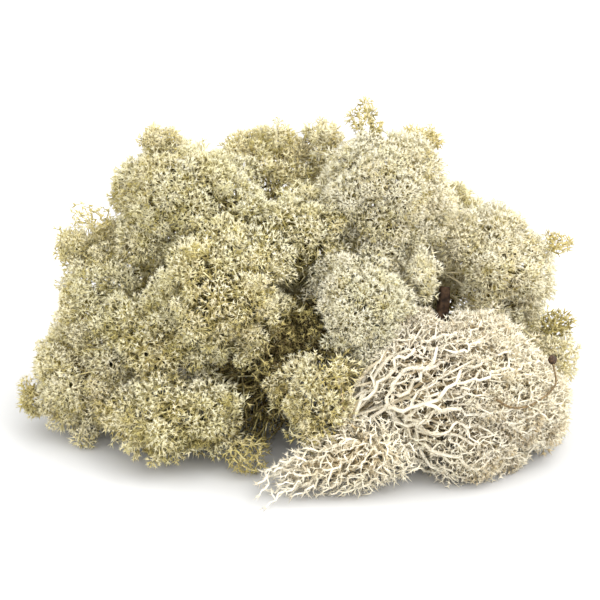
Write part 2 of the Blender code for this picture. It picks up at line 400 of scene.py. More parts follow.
def bump(tree, height, distance):
    """The normal of a Bump node over a height."""
    node = tree.nodes.new("ShaderNodeBump")
    node.inputs["Distance"].default_value = distance
    node.inputs["Strength"].default_value = 0.6
    tree.links.new(height, node.inputs["Height"])
    return node.outputs["Normal"]


def mixed(tree, kind, fac, first, second):
    """The colour of a Mix node; fac and second may be numbers."""
    node = tree.nodes.new("ShaderNodeMix")
    node.data_type = "RGBA"
    node.blend_type = kind
    for socket, value in ((node.inputs[0], fac), (node.inputs[6], first), (node.inputs[7], second)):
        if isinstance(value, bpy.types.NodeSocket):
            tree.links.new(value, socket)
        else:
            socket.default_value = value
    return node.outputs[2]


def lichen_material(name, cool, warm):
    """Dry lichen, from its old stalks (age 0) to its tips (age 1), between a cool and a warm tint. The age
    that it is given also carries painted shade and painted light.
    """
    material = bpy.data.materials.new(name)
    material.use_nodes = True
    tree = material.node_tree
    shader = tree.nodes["Principled BSDF"]
    shader.inputs["Specular IOR Level"].default_value = 0.2
    patches, grain = weathered(tree, 260, 2600)
    values = {}
    for key, spread in (("age", 0.1), ("tint", 0.3)):
        node = tree.nodes.new("ShaderNodeAttribute")
        node.attribute_name = key
        added = tree.nodes.new("ShaderNodeMath")
        tree.links.new(node.outputs["Fac"], added.inputs[0])
        tree.links.new(ranged(tree, patches, -spread, spread), added.inputs[1])
        values[key] = added.outputs[0]
    colours = [colour_ramp(tree, values["age"], stops) for stops in (cool, warm)]
    base = mixed(tree, "MIX", values["tint"], *colours)
    shade = colour_ramp(tree, grain, ((0.3, (0.8, 0.78, 0.74)), (0.55, (1, 1, 1))))
    tree.links.new(mixed(tree, "MULTIPLY", 1.0, base, shade), shader.inputs["Base Color"])
    tree.links.new(ranged(tree, grain, 0.95, 0.75), shader.inputs["Roughness"])
    tree.links.new(bump(tree, grain, 0.06 * MM), shader.inputs["Normal"])
    return material


GREEN_CREAM = lichen_material(
    "greenish_cream_lichen",
    (
        (0.0, (0.07, 0.05, 0.02)),
        (0.4, (0.56, 0.485, 0.18)),
        (0.7, (0.785, 0.74, 0.485)),
        (0.87, (0.775, 0.745, 0.54)),
        (1.0, (0.77, 0.745, 0.58)),
    ),
    (
        (0.0, (0.09, 0.055, 0.02)),
        (0.4, (0.63, 0.52, 0.21)),
        (0.7, (0.85, 0.765, 0.51)),
        (0.87, (0.84, 0.775, 0.575)),
        (1.0, (0.82, 0.775, 0.61)),
    ),
)

for name in BARE_TUFTS:
    piece = grow_bare_tuft(name)
    piece.data.materials.append(GREEN_CREAM)
    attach(piece, "root")
    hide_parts(name)

# ---------------------------------------------------------------- the cushions and tufts that stand upright
# Most of the mound lies as it grew, tips outwards: greenish cream on the outside, and a dull olive brown
# inside, where the stalks are old. The outside is a cauliflower of florets, domes of 5 to 15 mm that each
# end one main branch, and a floret is a ring of small knobs, covered with the stars of the last forks.

# Some cushions are tight and granular, and others are open, with sprigs that stand apart over dark holes.
# Those in the hollows are duller, which is painted shade, and those on the right side are paler, which is
# painted light
# # from the window. Some are a cool greenish cream and others are a warmer straw.

LOOKS = {  # openness, dullness, warmth
    "cushion_crown_left": (0.05, -0.02, 0.15),
    "cushion_crown_middle": (0.7, -0.12, 0.25),
    "cushion_crown_back": (0.1, 0.18, 0.5),
    # a dullness below 0 paints the right side paler as painted light; the high dullness of the hollows is
    # painted shade
    "cushion_crown_right": (0.0, -0.38, 0.6),
    "cushion_shoulder_left": (0.15, 0.06, 0.4),
    "cushion_shoulder_right": (0.15, -0.36, 0.65),
    "cushion_flank_left": (0.2, 0.0, 0.35),
    "cushion_centre": (0.45, -0.02, 0.25),
    "cushion_breast_right": (0.05, -0.46, 0.5),
    "cushion_hollow_left": (0.7, -0.06, 0.35),
    "cushion_hollow_middle": (1.0, 0.7, 0.2),
    "cushion_hollow_low": (1.0, 1.3, 0.2),
    "cushion_foot_left": (0.2, -0.08, 0.5),
    "cushion_foot_front_left": (0.6, -0.04, 0.3),
    "cushion_foot_middle": (0.55, 0.04, 0.5),
    "cushion_foot_right": (0.2, -0.2, 0.7),
    "tuft_far_left": (0.4, 0.2, 0.5),
    "tuft_top_left": (0.3, 0.12, 0.4),
    "tuft_top_middle": (0.1, -0.1, 0.4),
    "tuft_top": (0.3, 0.4, 0.4),
    "tuft_top_right": (0.3, 0.3, 0.8),
    "tuft_bead": (0.0, -0.35, 0.6),
}
USUAL_LOOK = (0.3, 0.06, 0.5)


def looks_of(name):
    """(openness, dullness, warmth) of a piece, mostly from 0 to 1. The dullness is partly the lichen's own
    duller colour and partly painted shade in the hollows; one with a dullness below 0 is paler, which is
    painted light from the window.
    """
    return LOOKS.get(name, USUAL_LOOK)


# Florets: the big ones take their places first, and the small ones fill in between, over the crevices too.

FLORET_BANDS = ((5.6 * MM, 7.6 * MM), (4.0 * MM, 5.6 * MM), (2.6 * MM, 4.0 * MM))  # radii
BAND_SHARES = (0.3, 0.4, 0.3)  # how often each band is tried
TUFT_BAND = (1.3 * MM, 2.5 * MM)
FLORET_SINK = (0.75, 1.05)  # how far its middle is under the surface, as a part of its radius
FLORET_ROOM = 0.7  # how much of it stays out of the open space of the litter
CROWDING = 0.64  # how near two florets come, as a part of the sum of their radii
CREVICE = 10 * MM  # where a neighbour is nearer than this, the florets rise to fill the crevice
CREVICE_LIFT = 0.3  # by this part of that distance at most
FREE_AIR = 4.5 * MM  # a floret needs this much of it in front
NECK = 2.0 * MM  # a tuft stands this clear of its neighbours, on bare stalks
RELIEF = 1.3 * MM  # the hills and dips of the mound's surface
FLOOR_GAP = 1.2 * MM  # nearer to the floor than this, no floret faces down
SURFACE_TRIES = 1500
BIG_FLORET = 5 * MM

OVERTURNED = "cushion_overturned"
FRINGE = "cushion_foot_front_right"
BARE_ROOT = np.array((14.0, -41.0, 19.0)) * MM  # the old foot that the overturned stalks fan out from
RIM_START = 0.57  # the overturned cushion has florets from here on, as a part of its reach
WISPY = ("tuft_top", "tuft_left_floor")  # tufts with no florets, only sprigs
HOLLOWS = {  # how high the stalks of a hollow show, and the spacing of their forks
    "cushion_hollow_left": (30 * MM, 3.2 * MM),
    "cushion_hollow_middle": (27 * MM, 3.4 * MM),
    "cushion_hollow_low": (40 * MM, 2.9 * MM),
}

OUTLOOK = np.array((0, -0.91, 0.41))  # towards the side that the mound is shown from
LITTER_ROOM = (  # piece, how far the room in front of it runs, how far florets and stars stay away
    ("twig", 16 * MM, 0.4 * MM),
    ("needle", 3 * MM, -0.9 * MM),
    ("stalk", 3 * MM, -0.2 * MM),
    ("stalk_bud", 3 * MM, -0.2 * MM),
)
ROOM_STEP = 1.5 * MM

CUSHIONS = [name for name in LICHEN if name.startswith("cushion_")]
NEIGHBOURS = {name: tree_of([other for other in CUSHIONS if other != name]) for name in LICHEN}


def litter_room():
    """Rows of points in the open space that each piece of litter has in front of it, with its margin."""
    rows = []
    for name, run, margin in LITTER_ROOM:
        corners, _ = solid_of(name)
        for step in np.arange(0, run, ROOM_STEP):
            rows.append(np.column_stack([corners + OUTLOOK * step, np.full(len(corners), margin)]))
    return np.concatenate(rows)


ROOM = litter_room()
ROOM_TREE = KDTree(len(ROOM))
for i, row in enumerate(ROOM):
    ROOM_TREE.insert(row[:3], i)
ROOM_TREE.balance()


def in_room(point, size):
    """True if something of this size at a point would stand in the open space of the litter."""
    _, i, distance = ROOM_TREE.find(Vector(point))
    return distance < size + ROOM[i, 3]


def surface_points(name, count, chance):
    """(points, outward normals) scattered evenly over a solid."""
    corners, triangles = SOLIDS[name]
    a, b, c = (corners[triangles[:, k]] for k in range(3))
    cross = np.cross(b - a, c - a)
    area = np.linalg.norm(cross, axis=1)
    pick = chance.choice(len(area), count, p=area / area.sum())
    u, v = chance.random((2, count, 1))
    turned = u + v > 1
    u, v = np.where(turned, 1 - u, u), np.where(turned, 1 - v, v)
    points = a[pick] + u * (b - a)[pick] + v * (c - a)[pick]
    return points, cross[pick] / area[pick, None]


def lifted(name, point, normal):
    """A surface point lifted out of the crevice it may be in, and the way to open air from there. None where
    a neighbour presses on the piece."""
    spot, facing, _, distance = NEIGHBOURS[name].find_nearest(Vector(point))
    away = point - np.array(spot)
    if away.dot(np.array(facing)) < 0:
        return None
    if name.startswith("tuft_"):
        return (point, normal) if distance > NECK else None
    closeness = max(0.0, 1 - distance / CREVICE)
    way = normal + closeness * away / distance
    if np.linalg.norm(way) < 0.5:
        return None
    way = unit(way)
    point = point + way * closeness**2 * CREVICE * CREVICE_LIFT
    if NEIGHBOURS[name].ray_cast(Vector(point + way * 0.1 * MM), Vector(way), FREE_AIR)[0] is not None:
        return None
    return point, way


def relief_at(point):
    """A slow rise and fall of the mound's surface, from -1 to 1."""
    x, y, z = point / MM
    return math.sin(x * 0.31 + z * 0.12) * math.sin(z * 0.37 - y * 0.1 + 1) * math.cos(y * 0.29 + x * 0.07)


def floret_tries(name):
    """(radius, piece, spot, outward axis, middle of the dome) of each floret that a piece could have."""
    chance = chance_for(name + " florets")
    points, normals = surface_points(name, SURFACE_TRIES, chance)
    reach = np.linalg.norm(SOLIDS[name][0] - BARE_ROOT, axis=1).max()
    bare = RIM_START * reach if name == OVERTURNED else 0
    found = []
    for point, normal in zip(points, normals):
        band = TUFT_BAND if name.startswith("tuft_") else FLORET_BANDS[chance.choice(3, p=BAND_SHARES)]
        radius = chance.uniform(*band)
        if point[2] < FLOOR_GAP and normal[2] < -0.3:
            continue
        if np.linalg.norm(point - BARE_ROOT) < bare:
            continue
        if name in HOLLOWS and point[2] < HOLLOWS[name][0]:
            continue
        place = lifted(name, point, normal)
        if place is None:
            continue
        spot = place[0] + place[1] * RELIEF * relief_at(place[0])
        middle = spot - place[1] * radius * chance.uniform(*FLORET_SINK)
        if not in_room(middle, FLORET_ROOM * radius):
            found.append((radius, name, spot, place[1], middle))
    return found


def spread_florets():
    """The florets of each piece as rows: middle of the dome (3), outward axis (3), radius."""
    heads = [name for name in LICHEN if name not in (*WISPY, *BARE_TUFTS, FRINGE)]
    tries = [found for name in heads for found in floret_tries(name)]
    tries.sort(key=lambda found: -found[0])
    taken = np.zeros((len(tries), 4))
    rows, count = {name: [] for name in LICHEN}, 0
    for radius, name, spot, axis, middle in tries:
        apart = np.linalg.norm(taken[:count, :3] - spot, axis=1)
        if (apart < CROWDING * (taken[:count, 3] + radius)).any():
            continue
        taken[count] = *spot, radius
        count += 1
        rows[name].append([*middle, *axis, radius])
    return {name: np.array(rows[name]).reshape(-1, 7) for name in LICHEN}


FLORETS = spread_florets()
DOMES = np.concatenate([FLORETS[name] for name in LICHEN])

# Sprigs: here and there one twig has outgrown its floret and stands out of it on a stalk of its own. The
# wispy tufts are made of nothing else.

SPRIG_RADIUS = (1.1 * MM, 1.9 * MM)
SPRIG_RISE = (-0.2 * MM, 1.3 * MM)
SPRIG_OVERLAP = 0.4 * MM  # how far a sprig may reach into a floret's dome
TUFT_SPRIGS = 0.9  # the share of sprigs that are kept
CUSHION_SPRIGS = (0.3, 0.5)  # on a tight cushion, and how many more on an open one
WISP_SPACING = 2.7 * MM
WISP_SKIN = 0.5 * MM


def set_sprigs(name):
    """The sprigs of one piece, as rows like the florets' own."""
    chance = chance_for(name + " sprigs")
    if name in WISPY:
        middles = inner_points(name, WISP_SPACING, chance, WISP_SKIN)
        axes = unit(middles - middle_of(name))
        return np.column_stack([middles, axes, chance.uniform(*SPRIG_RADIUS, len(middles))])
    rows = []
    share = CUSHION_SPRIGS[0] + CUSHION_SPRIGS[1] * looks_of(name)[0]
    share = TUFT_SPRIGS if name.startswith("tuft_") else share
    for floret in FLORETS[name]:
        for _ in range(2 if floret[6] > BIG_FLORET else 1):
            axis = unit(floret[3:6] + chance.normal(size=3) * 0.5)
            middle = floret[:3] + axis * (floret[6] + chance.uniform(*SPRIG_RISE))
            radius = chance.uniform(*SPRIG_RADIUS)
            clear = np.linalg.norm(DOMES[:, :3] - middle, axis=1) - DOMES[:, 6]
            wanted = chance.random() < share
            free = clear.min() > -SPRIG_OVERLAP and middle[2] > radius and not in_room(middle, radius)
            if wanted and free:
                rows.append([*middle, *axis, radius])
    return np.array(rows).reshape(-1, 7)


SPRIGS = {name: set_sprigs(name) for name in LICHEN}

# Stars: three to five stubby points round a little hole. They stand side by side all over a floret.

STAR_SPACING = (1.24 * MM, 1.7 * MM)  # on a tight piece and on an open one, like the next two
KNOB_SPACING = (3.4 * MM, 5.2 * MM)
KNOB_DEPTH = (0.18, 0.46)  # how far the stars dip between knobs, as a part of the floret's radius
COARSER = 1.4 * MM  # the stars are this much farther apart on the shaded side of the mound
KNOB_WANDER = 0.14
KNOB_WIDTH = 0.62  # as a part of the spacing of the knobs
KNOB_EDGE = 1.3  # the crease round a knob is deepest this many widths out
KNOB_REACH = 0.58  # where the stalk of a knob forks, as a part of the floret's radius
STAR_RADIUS = 0.12  # this and the next as parts of the spacing
POINT_LENGTH = (0.62, 1.22)
POINT_SPLAY = (22, 70)
FLORET_SPREAD = math.radians(108)
# stars in a crease get duller colour: painted shade
CREASE = 1.6 * MM  # stars this near to a neighbouring floret are in the crease beside it
COVERED = 0.86  # the part of a floret's radius inside which it hides its neighbours' stars
STAR_WANDER = 0.3  # as a part of the spacing
STAR_UNEVEN = 0.2 * MM
STAR_FLOOR = 0.7 * MM
STAR_PRESS = 1.2 * MM  # how deep in a neighbour's solid a star may be
STAR_SIZE = 1.3 * MM  # what it needs outside the open space of the litter
LOOK_COUNT = 28  # directions that light could come from
LOWEST_LOOK = -0.35  # and none of them from further below
DOME_SHARE = 0.9  # the part of a dome that stops light
LOOK_REACH = 26 * MM  # domes farther off stop none of it


def even_directions(count, chance):
    """Directions spread evenly over the sphere, turned by chance."""
    i = np.arange(count)
    height = 1 - (2 * i + 1) / count
    ring, around = np.sqrt(1 - height**2), math.pi * (3 - math.sqrt(5)) * i
    found = np.stack([ring * np.cos(around), ring * np.sin(around), height], 1)
    turn = np.linalg.qr(chance.normal(size=(3, 3)))[0]
    return found @ turn.T


def count_for(radius, spacing):
    """How many directions put points this far apart on a sphere, packed like the cells of a honeycomb."""
    return max(6, round(4 * math.pi * radius**2 / (0.866 * spacing**2)))


def seen_from_outside(places, middle):
    """Whether light gets to each place on a floret past the other domes, in a few directions tried."""
    if not len(places):
        return np.zeros(0, bool)
    apart = np.linalg.norm(DOMES[:, :3] - middle, axis=1)
    near = DOMES[(apart < LOOK_REACH) & (apart > 1e-9)]
    looks = even_directions(LOOK_COUNT, np.random.default_rng(5))
    looks = looks[looks[:, 2] > LOWEST_LOOK]
    to_dome = near[None, :, :3] - places[:, None]
    along = np.einsum("pdk,lk->pld", to_dome, looks)
    beside = np.square(to_dome).sum(2)[:, None] - along**2
    blocked = (along > 0) & (beside < (DOME_SHARE * near[:, 6]) ** 2)
    outward = unit(places - middle) @ looks.T > 0
    return (~blocked.any(2) & outward).sum(1) > 1


def star_spacing_of(axis, openness):
    """How far apart the stars of a floret are, by the way that it faces."""
    shaded = np.interp(axis @ OUTLOOK, (-0.5, 0.3), (1, 0))
    return np.interp(openness, (0, 1), STAR_SPACING) + COARSER * shaded


def star_places(name, floret, openness, star_spacing, chance):
    """(knob ends, knob of each star, star middles, the painted shade of each star, more the deeper it sits in
    a crease between knobs or beside a neighbouring floret) on the part of a floret that no neighbour covers."""
    middle, axis, radius = floret[:3], floret[3:6], floret[6]
    knob_spacing = min(np.interp(openness, (0, 1), KNOB_SPACING), radius)
    knobs = even_directions(count_for(radius, knob_spacing), chance)
    knobs = unit(knobs + chance.normal(size=knobs.shape) * KNOB_WANDER)
    stars = even_directions(count_for(radius, star_spacing), chance)
    stars = unit(stars + chance.normal(size=stars.shape) * STAR_WANDER * star_spacing / radius)
    stars = stars[stars @ axis > math.cos(FLORET_SPREAD)]
    facing = stars @ knobs.T
    knob = facing.argmax(1)
    apart = np.arccos(np.clip(facing.max(1), -1, 1)) / (KNOB_WIDTH * knob_spacing / radius)
    low = np.minimum(apart, KNOB_EDGE) ** 2
    rise = chance.normal(size=len(knobs)) * (0.05 + 0.08 * openness)
    height = radius * (1 - np.interp(openness, (0, 1), KNOB_DEPTH) * low + rise[knob])
    height += chance.normal(size=len(stars)) * STAR_UNEVEN
    places = middle + stars * height[:, None]
    near = DOMES[np.linalg.norm(DOMES[:, :3] - middle, axis=1) < radius + FLORET_BANDS[0][1]]
    gap = np.linalg.norm(places[:, None] - near[None, :, :3], axis=2) - COVERED * near[None, :, 6]
    gap[:, np.linalg.norm(near[:, :3] - middle, axis=1) < 1e-9] = 1
    kept = (gap.min(1) > 0) & (places[:, 2] > STAR_FLOOR)
    for i in np.flatnonzero(kept):
        kept[i] = within(OTHERS[name], places[i]) < STAR_PRESS and not in_room(places[i], STAR_SIZE)
    kept[kept] = seen_from_outside(places[kept], middle)
    used, knob = np.unique(knob[kept], return_inverse=True)
    # painted shade: a star deep between knobs or near a neighbouring floret gets duller colour
    beside = np.clip(1 - gap.min(1) / CREASE, 0, 1)
    crease_shade = 0.5 * low[kept] / KNOB_EDGE**2 + 0.8 * beside[kept]
    return middle + knobs[used] * radius * KNOB_REACH, knob, places[kept], crease_shade


def stems(bases, middles, radius, old, young):
    """(corners, triangles, ages) of three-sided stems that widen from a base to a star."""
    first, second = across(unit(middles - bases), np.zeros(len(bases)))
    ring = first[:, None] * np.cos(THIRDS)[:, None] + second[:, None] * np.sin(THIRDS)[:, None]
    corners = np.concatenate([bases[:, None], middles[:, None] + ring * radius], 1).reshape(-1, 3)
    k, after = np.arange(3), (np.arange(3) + 1) % 3
    start = (np.arange(len(bases)) * 4)[:, None]
    triangles = np.stack([start + 0 * k, start + 1 + after, start + 1 + k], -1).reshape(-1, 3)
    ages = np.column_stack([old, young, young, young]).ravel()
    return corners, triangles, ages


# Stalks: each cushion is one tree of forks from its root in the mound, grown with the least length of branch
# that still keeps the ways to the root short.

STALK_RADIUS = (0.24 * MM, 0.42 * MM)
STALK_GAUGE = 0.17 * MM
STALK_GROWTH = 0.33
STALK_SIDES = 3
THRIFT = 0.8
HEAD_LOAD = 6.0  # what a big floret adds to its stalk
TWIG_LOAD = 0.3  # and a bare fork
HEART = np.array((0.0, 0.004, 0.024))  # the cushions' stalks run in towards this point of the mound
ROOT_SHARE = 0.55  # and start this far along the way to it
TUFT_FOOT = 4 * MM
INNER_SPACING = 3.75 * MM
INNER_SKIN = 1.2 * MM
TUFT_INNER_SPACING = 3.2 * MM
FORK_RADIUS = 0.3 * MM
FORK_LENGTH = (1.6 * MM, 2.8 * MM)
SUNK_DEPTH = 4.2 * MM
TREE_DEPTHS = (1 * MM, 8 * MM)
TREE_AGES = (0.66, 0.16)
HOLLOW_AGES = (0.12, 0.66)
HOLLOW_FADE = 0.35
TWIG_DEPTH = 5.5 * MM  # old side twigs grow only this far inside
TWIG_LENGTH = (3.0 * MM, 5.0 * MM)
# SHADE_LOSS is painted shade on the undersides of florets, together with the lichen's own duller colour below
SHADE_LOSS = 0.3  # the tips that face down are this much duller


def head_parts(name, floret, is_sprig, chance):
    """(knob ends, parts) of one floret or sprig: its stars, their stems and the forks under them."""
    openness, dullness, _ = looks_of(name)
    openness = np.clip(openness + chance.normal() * 0.15, 0, 1)
    middle, axis, radius = floret[:3], floret[3:6], floret[6]
    # a floret in a dip of the relief gets duller colour: painted shade
    dullness = dullness + abs(chance.normal()) * 0.1 - 0.12 * min(relief_at(middle + axis * radius), 0)
    spacing = star_spacing_of(axis, openness)
    if is_sprig:
        spacing *= 0.9
        stars = even_directions(count_for(radius, spacing), chance)
        stars = stars[stars @ axis > -0.2]
        knobs = np.zeros((0, 3))
        places = middle + stars * radius * chance.uniform(0.8, 1.15, (len(stars), 1))
        bases = middle + 0 * stars
        low = 0.2 * chance.random(len(stars))
    else:
        knobs, knob, places, low = star_places(name, floret, openness, spacing, chance)
        bases = knobs[knob]
    if not len(places):
        return knobs, []
    heading = unit(places - bases)
    # painted shade: stars that face down and stars in creases get duller colour, on top of the piece's
    # dullness
    shaded = SHADE_LOSS * (1 - unit(places - middle)[:, 2]) / 2
    young = 1 - 0.42 * low - 0.6 * dullness - shaded + chance.normal(size=len(places)) * 0.06
    under = 0.9 - 0.42 * openness - 0.4 * dullness
    longest = spacing - 0.8 * openness * (STAR_SPACING[1] - STAR_SPACING[0])
    lengths = [length * longest for length in POINT_LENGTH]
    parts = [
        stems(bases, places, STAR_RADIUS * spacing, np.full(len(young), under - 0.1), young - 0.15),
        points_round(places, heading, STAR_RADIUS * spacing, lengths, POINT_SPLAY, (3, 5), young, chance),
    ]
    if len(knobs):
        outward = unit(knobs - middle)
        old = np.full(len(knobs), under)
        parts.append(points_round(knobs, outward, FORK_RADIUS, FORK_LENGTH, (45, 80), (4, 5), old, chance))
    return knobs, parts


def side_twigs(forks, chance):
    """The old side twigs of the forks inside a cushion."""
    way = unit(chance.normal(size=forks.shape))
    age = chance.uniform(0.1, 0.4, len(forks))
    return points_round(forks, way, FORK_RADIUS * 1.8, TWIG_LENGTH, (50, 90), (3, 4), age, chance)


def sunk(name, root, points, parent):
    """(points, parent, new index of each old one) with the branches that would cross open air between two
    florets led back through the inside of the piece."""
    new_points, new_parent, place = [points[0]], [-1], [0]
    for i in range(1, len(points)):
        start = place[parent[i]]
        middle = (points[i] + points[parent[i]]) / 2
        depth = within(OWN[name], middle)
        detour = middle + unit(root - middle) * (SUNK_DEPTH - depth)
        if depth < SUNK_DEPTH and within(OWN[name], detour) > max(depth, 0):
            new_points.append(detour)
            new_parent.append(start)
            start = len(new_points) - 1
        new_points.append(points[i])
        new_parent.append(start)
        place.append(len(new_points) - 1)
    return np.array(new_points), np.array(new_parent), np.array(place)


def crowned(name, heads, place_of, tree, knob_age, chance):
    """The parts of a tree whose stalks end in florets and sprigs, which fork into their own knobs."""
    points, parent, radius, age = tree
    parts = []
    for i, head in enumerate(heads):
        knobs, own_parts = head_parts(name, head, i >= len(FLORETS[name]), chance)
        parts += own_parts
        parent = np.concatenate([parent, np.full(len(knobs), place_of[i])])
        points = np.concatenate([points, knobs])
        radius = np.concatenate([radius, np.full(len(knobs), FORK_RADIUS)])
        age = np.concatenate([age, np.full(len(knobs), knob_age)])
    return parts + [skinned(points, parent, radius, age, STALK_SIDES)]


def grow_cushion(name, root, inner):
    """All of one cushion: its florets of stars, and the stalks that carry them."""
    chance = chance_for(name)
    heads = np.concatenate([FLORETS[name], SPRIGS[name]])
    insides = inner_points(name, inner, chance, INNER_SKIN)
    points, parent, order = grown(root, np.concatenate([heads[:, :3], insides]), THRIFT)
    points, parent, place = sunk(name, root, points, parent)
    place_of = np.empty(len(order), int)
    place_of[order] = place[1:]
    load = np.full(len(points), TWIG_LOAD)
    load[place_of[: len(heads)]] = HEAD_LOAD * (heads[:, 6] / BIG_FLORET) ** 2
    radius = np.clip(STALK_GAUGE * loads_of(parent, load) ** STALK_GROWTH, *STALK_RADIUS)
    depth = [within(OWN[name], point) for point in points]
    age = np.interp(depth, TREE_DEPTHS, TREE_AGES)
    parts = crowned(name, heads, place_of, (points, parent, radius, age), TREE_AGES[0], chance)
    # the nets of the hollows take the hollow's dullness and turn dark: painted shade in the shaded holes
    if name in HOLLOWS:
        ages = (HOLLOW_AGES[0], HOLLOW_AGES[1] - HOLLOW_FADE * looks_of(name)[1])
        parts += net_parts(name, root[None], HOLLOWS[name][1], 1.0, ages, chance)
    deep = np.array([within(OWN[name], fork) > TWIG_DEPTH for fork in insides], bool)
    parts.append(side_twigs(insides[deep], chance))
    return joined_mesh("lichen_" + name, parts, looks_of(name)[2])


for name in LICHEN:
    if name in BARE_TUFTS or name in (OVERTURNED, FRINGE):
        continue
    if name.startswith("tuft_"):
        piece = grow_cushion(name, foot_in_neighbour(name, TUFT_FOOT), TUFT_INNER_SPACING)
    else:
        middle = middle_of(name)
        piece = grow_cushion(name, middle + (HEART - middle) * ROOT_SHARE, INNER_SPACING)
    piece.data.materials.append(GREEN_CREAM)
    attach(piece, "root")
    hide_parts(name)

# ---------------------------------------------------------------- the overturned cushion
# One cushion lies on its side and shows its underside: bare bleached stalks, as thick as a millimetre, that
# fan out from its old foot and fork into a lace of fine twigs. Its far rim still has its florets.

# the deeper layers have lower ages and so darker colours: partly the older stalks' own colour, partly painted
# shade
FAN_LAYERS = (  # depth under the surface, spacing of the forks, thrift, age
    (0.8 * MM, 2.7 * MM, 0.4, 0.92),
    (2.6 * MM, 2.9 * MM, 0.4, 0.78),
    (6.0 * MM, 4.0 * MM, 0.4, 0.55),
    (12.0 * MM, 6.0 * MM, 0.4, 0.35),
)
FAN_TRIES = 5000
FAN_DEPTHS = (0.3, 1.4)  # the range of each layer's depth
FAN_FOOT_GAP = 9 * MM  # the first forks are this far from the foot
FAN_CLOSING = (1.3, 0.55)  # how much wider the forks are at the foot, and how much that falls off
FAN_ROOTS = 5
FAN_ROOT_SPREAD = (5 * MM, 4 * MM, 11 * MM)
FAN_GAUGE = 0.2 * MM
FAN_GROWTH = 0.32
FAN_RADIUS = (0.22 * MM, 0.55 * MM)
FAN_WANDER = 0.18
FAN_TAPER = ((0.3, 0.8), (1.1, 0.7))  # the stalks thin out between these parts of the reach
FAN_RELIEF = 2.2 * MM
FAN_HILLS = 1.3  # its hills are this much closer together than the mound's
FAN_PRESS = 0.5 * MM  # how far it stays out of its neighbours
FAN_FLOOR = 0.6 * MM
FAN_SIZE = 0.9 * MM  # what its forks need outside the open space of the litter
FAN_SIDE_LENGTH = (1.0 * MM, 2.4 * MM)
FAN_END_LENGTH = (1.5 * MM, 3.5 * MM)
LACE_START = 0.05  # the lace begins this far out, as a part of the reach
LACE_DEPTH = 0.5 * MM
LACE_TRIES = 16000
LACE_SPACING = 1.35 * MM
LACE_HOLES = (4.8 * MM, 1.3 * MM)  # how far apart its holes are, and their radius
LACE_LENGTH = (1.0 * MM, 1.9 * MM)
RIM_SPACING = 4.6 * MM
RIM_SKIN = 2.5 * MM
RIM_THRIFT = 0.6
RIM_RADIUS = (0.3 * MM, 0.55 * MM)
RIM_DEPTHS = (1 * MM, 6 * MM)
RIM_AGES = (0.85, 0.35)
RIM_KNOB_AGE = 0.55
OVERTURNED_WARMTH = 0.5


def fan_points(depth, chance, tries):
    """Points at about one depth under the open side of the overturned cushion, and their outward normals."""
    points, normals = surface_points(OVERTURNED, tries, chance)
    hills = np.array([relief_at(point * FAN_HILLS) for point in points])[:, None]
    points = points - normals * (depth * chance.uniform(*FAN_DEPTHS, (tries, 1)) + hills * FAN_RELIEF)
    others = OTHERS[OVERTURNED]
    free = [i for i in range(tries) if within(others, points[i] + normals[i] * depth) < -FAN_PRESS]
    free = [i for i in free if points[i, 2] > FAN_FLOOR and not in_room(points[i], FAN_SIZE)]
    return points[free], normals[free]


def fan_layer(root, layer, chance):
    """(points, parent, radius, age) of one layer of the fan."""
    depth, spacing, thrift, age = layer
    points, _ = fan_points(depth, chance, FAN_TRIES)
    reach = np.linalg.norm(points - root, axis=1)
    spacing = spacing * (FAN_CLOSING[0] - FAN_CLOSING[1] * reach / reach.max())
    points = points[spread_apart(points, spacing)]
    feet = root + chance.uniform(-1, 1, (FAN_ROOTS, 3)) * FAN_ROOT_SPREAD
    points = np.concatenate([feet, points[np.linalg.norm(points - root, axis=1) > FAN_FOOT_GAP]])
    points, parent, _ = grown(root, points, thrift)
    loads = loads_of(parent, np.ones(len(points)))
    radius = np.clip(FAN_GAUGE * loads**FAN_GROWTH, *FAN_RADIUS)
    out = np.linalg.norm(points - root, axis=1) / reach.max()
    radius *= np.interp(out, *FAN_TAPER)
    ages = np.full(len(points), age) + chance.normal(size=len(points)) * 0.05
    return bent(points, parent, radius, ages, chance, FAN_WANDER)


def fan_parts(chance):
    """(parts of the fan in all its layers, tree of the outer layer)."""
    parts, outer = [], None
    for layer in FAN_LAYERS:
        root = BARE_ROOT + chance.normal(size=3) * 1.2 * MM
        tree = fan_layer(root, layer, chance)
        outer = tree if outer is None else outer
        parts.append(skinned(*tree, 5 if layer is FAN_LAYERS[0] else 4))
        points, _, _, age = tree
        side = unit(chance.normal(size=points.shape))
        parts.append(points_round(points, side, SIDE_RADIUS, FAN_SIDE_LENGTH, (20, 70), (1, 3), age, chance))
    points, parent, _, age = outer
    ends = np.setdiff1d(np.arange(len(points)), parent)
    tips, age = points[ends], age[ends]
    heading = unit(unit(tips - points[parent[ends]]) + unit(tips - BARE_ROOT) * 0.6)
    parts.append(points_round(tips, heading, END_RADIUS, FAN_END_LENGTH, (12, 45), (2, 4), age, chance))
    return parts, outer


